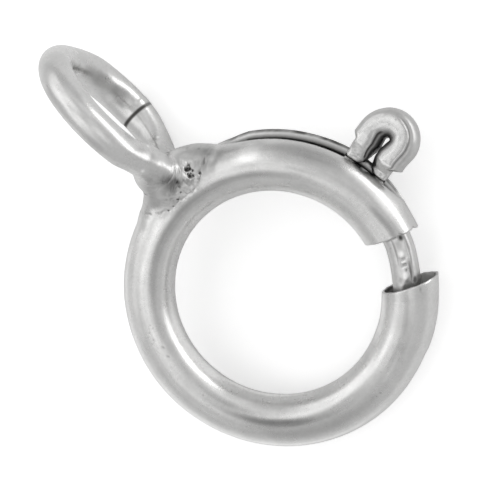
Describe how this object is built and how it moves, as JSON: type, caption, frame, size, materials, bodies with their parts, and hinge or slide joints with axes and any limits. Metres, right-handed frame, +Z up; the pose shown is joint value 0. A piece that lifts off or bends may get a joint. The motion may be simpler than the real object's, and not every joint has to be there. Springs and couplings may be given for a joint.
{
  "type": "spring ring clasp",
  "caption": "Round spring ring clasp: a hollow tube ring with a gap that a sprung sliding bolt closes, a thumb tab in a slot, and a soldered attachment eye.",
  "frame": {"origin": "middle of the footprint's bounding box, on the surface that the clasp lies on", "axes": "+Z up out of the clasp's front side, +X from the clasp's ring towards its attachment eye"},
  "size_m": [0.0092, 0.007, 0.0034],
  "materials": {
    "silver_body": "satin-polished sterling silver with fine scratches, rough at the solder",
    "silver_bolt": "polished sterling silver wire",
    "spring_wire": "bright drawn spring wire"
  },
  "bodies": {
    "ring": {"body_ring": "silver_body", "coil_spring": "spring_wire"},
    "bolt": {"bolt": "silver_bolt"}
  },
  "joints": [
    {"name": "bolt_slide", "type": "hinge", "parent": "ring", "child": "bolt", "pos_m": [-0.00164, 0.00053, 0.00093], "axis": [-0.1701, -0.0236, 0.9851], "range_deg": [0, 46], "stiffness_Nm_per_rad": 0.003, "deforming": ["coil_spring"]}
  ]
}
